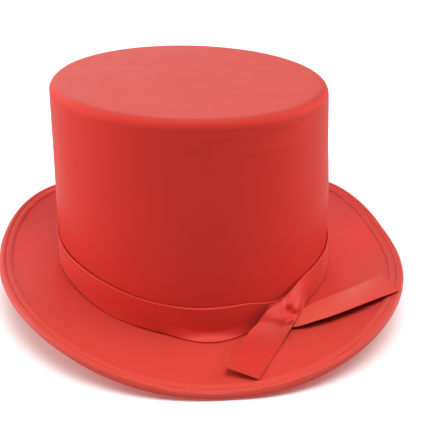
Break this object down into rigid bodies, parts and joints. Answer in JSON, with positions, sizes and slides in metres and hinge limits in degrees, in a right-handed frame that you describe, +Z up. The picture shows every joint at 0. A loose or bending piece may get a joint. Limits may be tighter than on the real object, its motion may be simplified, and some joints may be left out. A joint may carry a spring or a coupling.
{
  "type": "top hat",
  "caption": "Soft satin-covered top hat with an oval flat-topped crown, a curled bound brim, and a ribbon band knotted at the left front with two free tails.",
  "frame": {"origin": "on the table plane, under the middle of the brim's outline", "axes": "+Z up through the crown, front of the hat towards -Y, wearer's left towards +X"},
  "size_m": [0.2552, 0.3196, 0.129],
  "materials": {
    "satin": "smooth polyester satin, soft sheen",
    "binding": "satin folded over the brim's edge",
    "ribbon": "single-face satin ribbon with a woven edge",
    "former_felt": "moulded needle felt",
    "lining": "plain taffeta lining",
    "sweatband_ribbon": "ribbed grosgrain",
    "thread": "polyester sewing thread",
    "label_tape": "blank woven tape",
    "reed": "extruded plastic millinery reed"
  },
  "bodies": {
    "hat": {"crown_shell": "former_felt", "crown_cover": "satin", "brim_core": "former_felt", "brim_top_cover": "satin", "brim_under_cover": "satin", "brim_edge_reed": "reed", "brim_binding": "binding", "binding_thread": "thread", "crown_seam_thread": "thread", "side_lining": "lining", "tip_lining": "lining", "lining_thread": "thread", "sweatband": "sweatband_ribbon", "sweatband_thread": "thread", "hat_band": "ribbon", "band_tacks": "thread", "band_knot": "ribbon", "knot_tacks": "thread", "label_thread": "thread"},
    "front_tail": {"ribbon_tail_front": "ribbon"},
    "side_tail": {"ribbon_tail_side": "ribbon"},
    "label": {"care_label": "label_tape"}
  },
  "joints": [
    {"name": "front_tail_lift", "type": "hinge", "parent": "hat", "child": "front_tail", "pos_m": [0.03, -0.107, 0.00642], "axis": [-0.8829, 0.4695, 0], "range_deg": [0, 70]},
    {"name": "side_tail_lift", "type": "hinge", "parent": "hat", "child": "side_tail", "pos_m": [0.0625, -0.089, 0.01165], "axis": [0.2419, -0.9703, 0], "range_deg": [0, 70]},
    {"name": "label_flip", "type": "hinge", "parent": "hat", "child": "label", "pos_m": [-0.00119, 0.09537, 0.03], "axis": [-1, 0, 0], "range_deg": [0, 80]}
  ]
}
